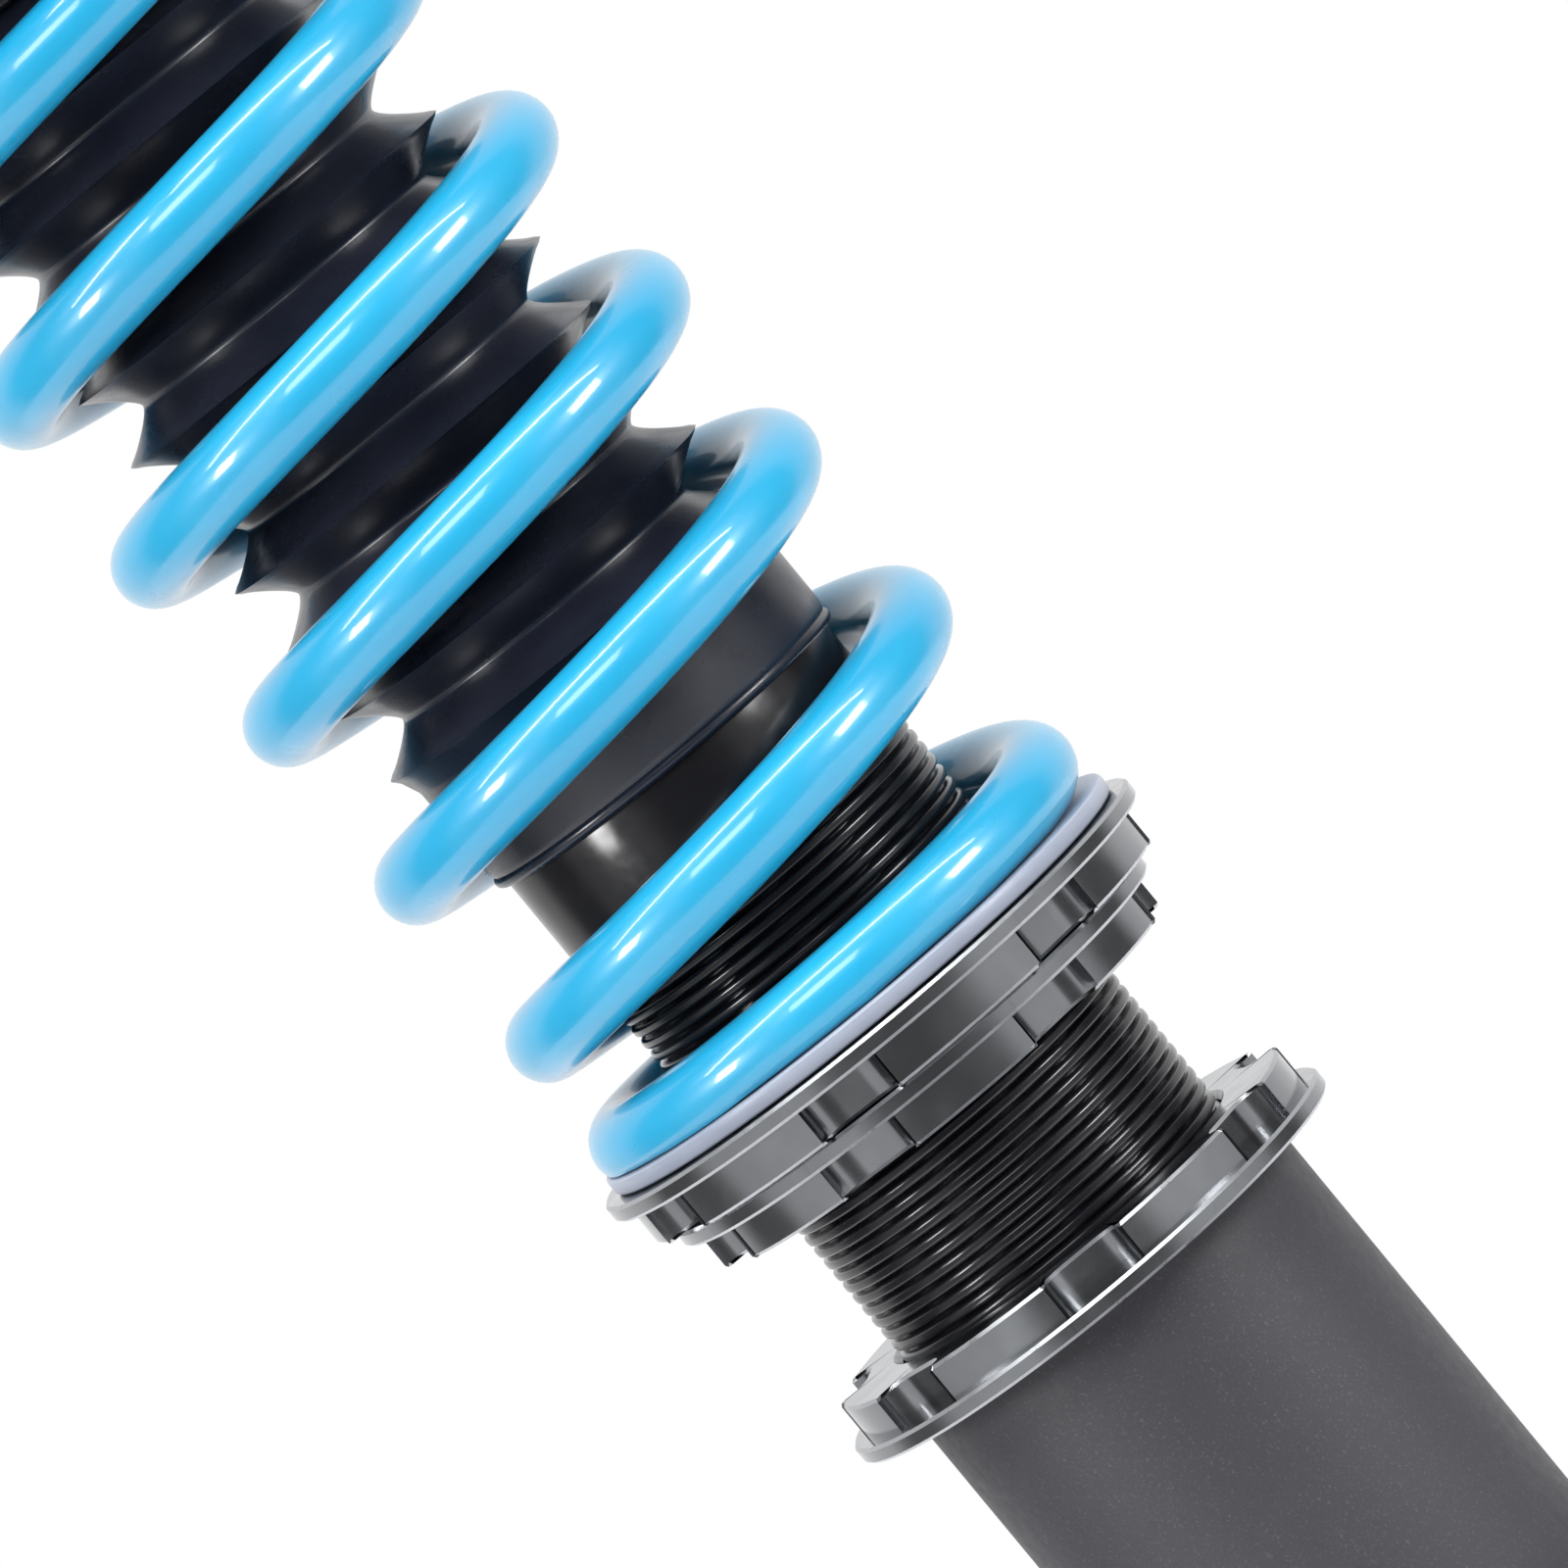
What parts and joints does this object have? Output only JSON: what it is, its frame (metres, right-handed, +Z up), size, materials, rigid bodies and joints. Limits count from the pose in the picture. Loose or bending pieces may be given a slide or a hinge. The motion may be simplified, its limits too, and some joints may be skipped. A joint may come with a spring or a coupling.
{
  "type": "coilover strut assembly",
  "caption": "Car coilover strut: coil spring over a bellows-booted damper, castellated seat and lock rings on a threaded body, knuckle bracket, and a camber plate with spherical bearing.",
  "frame": {"origin": "centre of the top plate's upper face, on the strut's axis, where it bolts up under the car's strut tower", "axes": "+Z up along the strut's axis, +X outboard towards the wheel and knuckle, +Y along the car"},
  "size_m": [0.122, 0.1404, 0.4677],
  "materials": {
    "anodised_black": "satin black anodised plate",
    "zinc_yellow": "yellow-passivated zinc plate",
    "machined_aluminium": "machined aluminium, fine turning marks",
    "black_oxide": "black oxide, lightly oiled",
    "bearing_steel": "ground bearing steel",
    "polished_steel": "polished hard chrome",
    "spring_steel": "phosphated spring steel",
    "anodised_grey": "satin charcoal-silver anodised, bright machined edges",
    "washer_plastic": "pale lavender-grey acetal",
    "spring_blue": "gloss sky-blue powder coat",
    "boot_rubber": "satin black moulded rubber",
    "bump_foam": "microcellular foam",
    "gloss_black": "gloss black coat",
    "powder_charcoal": "fine-textured charcoal powder coat",
    "piston_metal": "sintered and machined metal",
    "seal_rubber": "nitrile rubber",
    "guide_bronze": "sintered bronze",
    "band_ptfe": "filled low-friction plastic"
  },
  "bodies": {
    "top_mount": {"top_plate": "anodised_black", "plate_stud_1": "zinc_yellow", "plate_stud_2": "zinc_yellow", "plate_stud_3": "zinc_yellow", "stud_nut_1": "zinc_yellow", "stud_nut_2": "zinc_yellow", "stud_nut_3": "zinc_yellow"},
    "camber_unit": {"camber_slider": "machined_aluminium", "slider_bolt_1": "black_oxide", "slider_bolt_2": "black_oxide", "slider_bolt_3": "black_oxide", "slider_bolt_4": "black_oxide", "ball_race": "bearing_steel", "race_circlip": "spring_steel"},
    "rod_unit": {"piston_rod": "polished_steel", "pillow_ball": "polished_steel", "ball_spacer": "machined_aluminium", "rod_collar": "machined_aluminium", "rod_top_nut": "zinc_yellow", "thrust_race_upper": "bearing_steel", "piston": "piston_metal", "piston_band": "band_ptfe", "compression_valve_stack": "bearing_steel", "rebound_valve_stack": "bearing_steel", "piston_nut": "spring_steel", "rebound_stop": "seal_rubber"},
    "adjuster": {"adjuster_knob": "anodised_grey", "adjuster_stem": "piston_metal"},
    "needle_cage": {"thrust_needle_cage": "bearing_steel"},
    "upper_seat": {"upper_spring_seat": "anodised_grey", "thrust_race_lower": "bearing_steel", "upper_spring_washer": "washer_plastic", "coil_spring": "spring_blue", "dust_boot": "boot_rubber", "bump_stop": "bump_foam", "bump_stop_cup": "spring_steel"},
    "damper": {"threaded_body": "gloss_black", "body_base_cap": "spring_steel", "gland_nut": "anodised_grey", "rod_seal": "seal_rubber", "rod_guide": "guide_bronze"},
    "gas_piston_unit": {"gas_piston": "piston_metal", "gas_piston_ring": "seal_rubber"},
    "lower_seat": {"spring_seat": "anodised_grey", "lower_spring_washer": "washer_plastic"},
    "lock_collar": {"seat_lock_collar": "anodised_grey"},
    "foot": {"knuckle_tube": "powder_charcoal", "tube_end_plug": "powder_charcoal", "knuckle_bracket": "powder_charcoal", "bracket_web": "powder_charcoal", "sway_link_tab": "powder_charcoal", "brake_hose_tab": "powder_charcoal"},
    "foot_lock_ring": {"lower_lock_ring": "anodised_grey"}
  },
  "joints": [
    {"name": "camber_slide", "type": "slide", "parent": "top_mount", "child": "camber_unit", "axis": [1, 0, 0], "range_m": [-0.01, 0.01]},
    {"name": "strut_tilt", "type": "hinge", "parent": "camber_unit", "child": "rod_unit", "pos_m": [0, 0, -0.0169], "axis": [0, 1, 0], "range_deg": [-6, 6]},
    {"name": "adjuster_turn", "type": "hinge", "parent": "rod_unit", "child": "adjuster", "pos_m": [0, 0, 0.0142], "axis": [0, 0, 1], "range_deg": [0, 330]},
    {"name": "steer_turn", "type": "hinge", "parent": "rod_unit", "child": "upper_seat", "pos_m": [0, 0, -0.038], "axis": [0, 0, 1], "range_deg": [-40, 40]},
    {"name": "cage_turn", "type": "hinge", "parent": "rod_unit", "child": "needle_cage", "pos_m": [0, 0, -0.038], "axis": [0, 0, 1], "range_deg": [-20, 20]},
    {"name": "damper_stroke", "type": "slide", "parent": "upper_seat", "child": "damper", "axis": [0, 0, 1], "range_m": [0, 0.085], "stiffness_N_per_m": 58800, "deforming": ["coil_spring", "dust_boot", "bump_stop"]},
    {"name": "gas_piston_slide", "type": "slide", "parent": "damper", "child": "gas_piston_unit", "axis": [0, 0, -1], "range_m": [0, 0.0195]},
    {"name": "seat_height", "type": "slide", "parent": "damper", "child": "lower_seat", "axis": [0, 0, 1], "range_m": [-0.012, 0]},
    {"name": "collar_height", "type": "slide", "parent": "lower_seat", "child": "lock_collar", "axis": [0, 0, 1], "range_m": [-0.01, 0]},
    {"name": "foot_height", "type": "slide", "parent": "damper", "child": "foot", "axis": [0, 0, 1], "range_m": [-0.04, 0.012]},
    {"name": "ring_height", "type": "slide", "parent": "foot", "child": "foot_lock_ring", "axis": [0, 0, 1], "range_m": [0, 0.01]}
  ],
  "couplings": [
    {"joint": "cage_turn", "follows": "steer_turn", "ratio": 0.5},
    {"joint": "gas_piston_slide", "follows": "damper_stroke", "ratio": 0.2287}
  ]
}
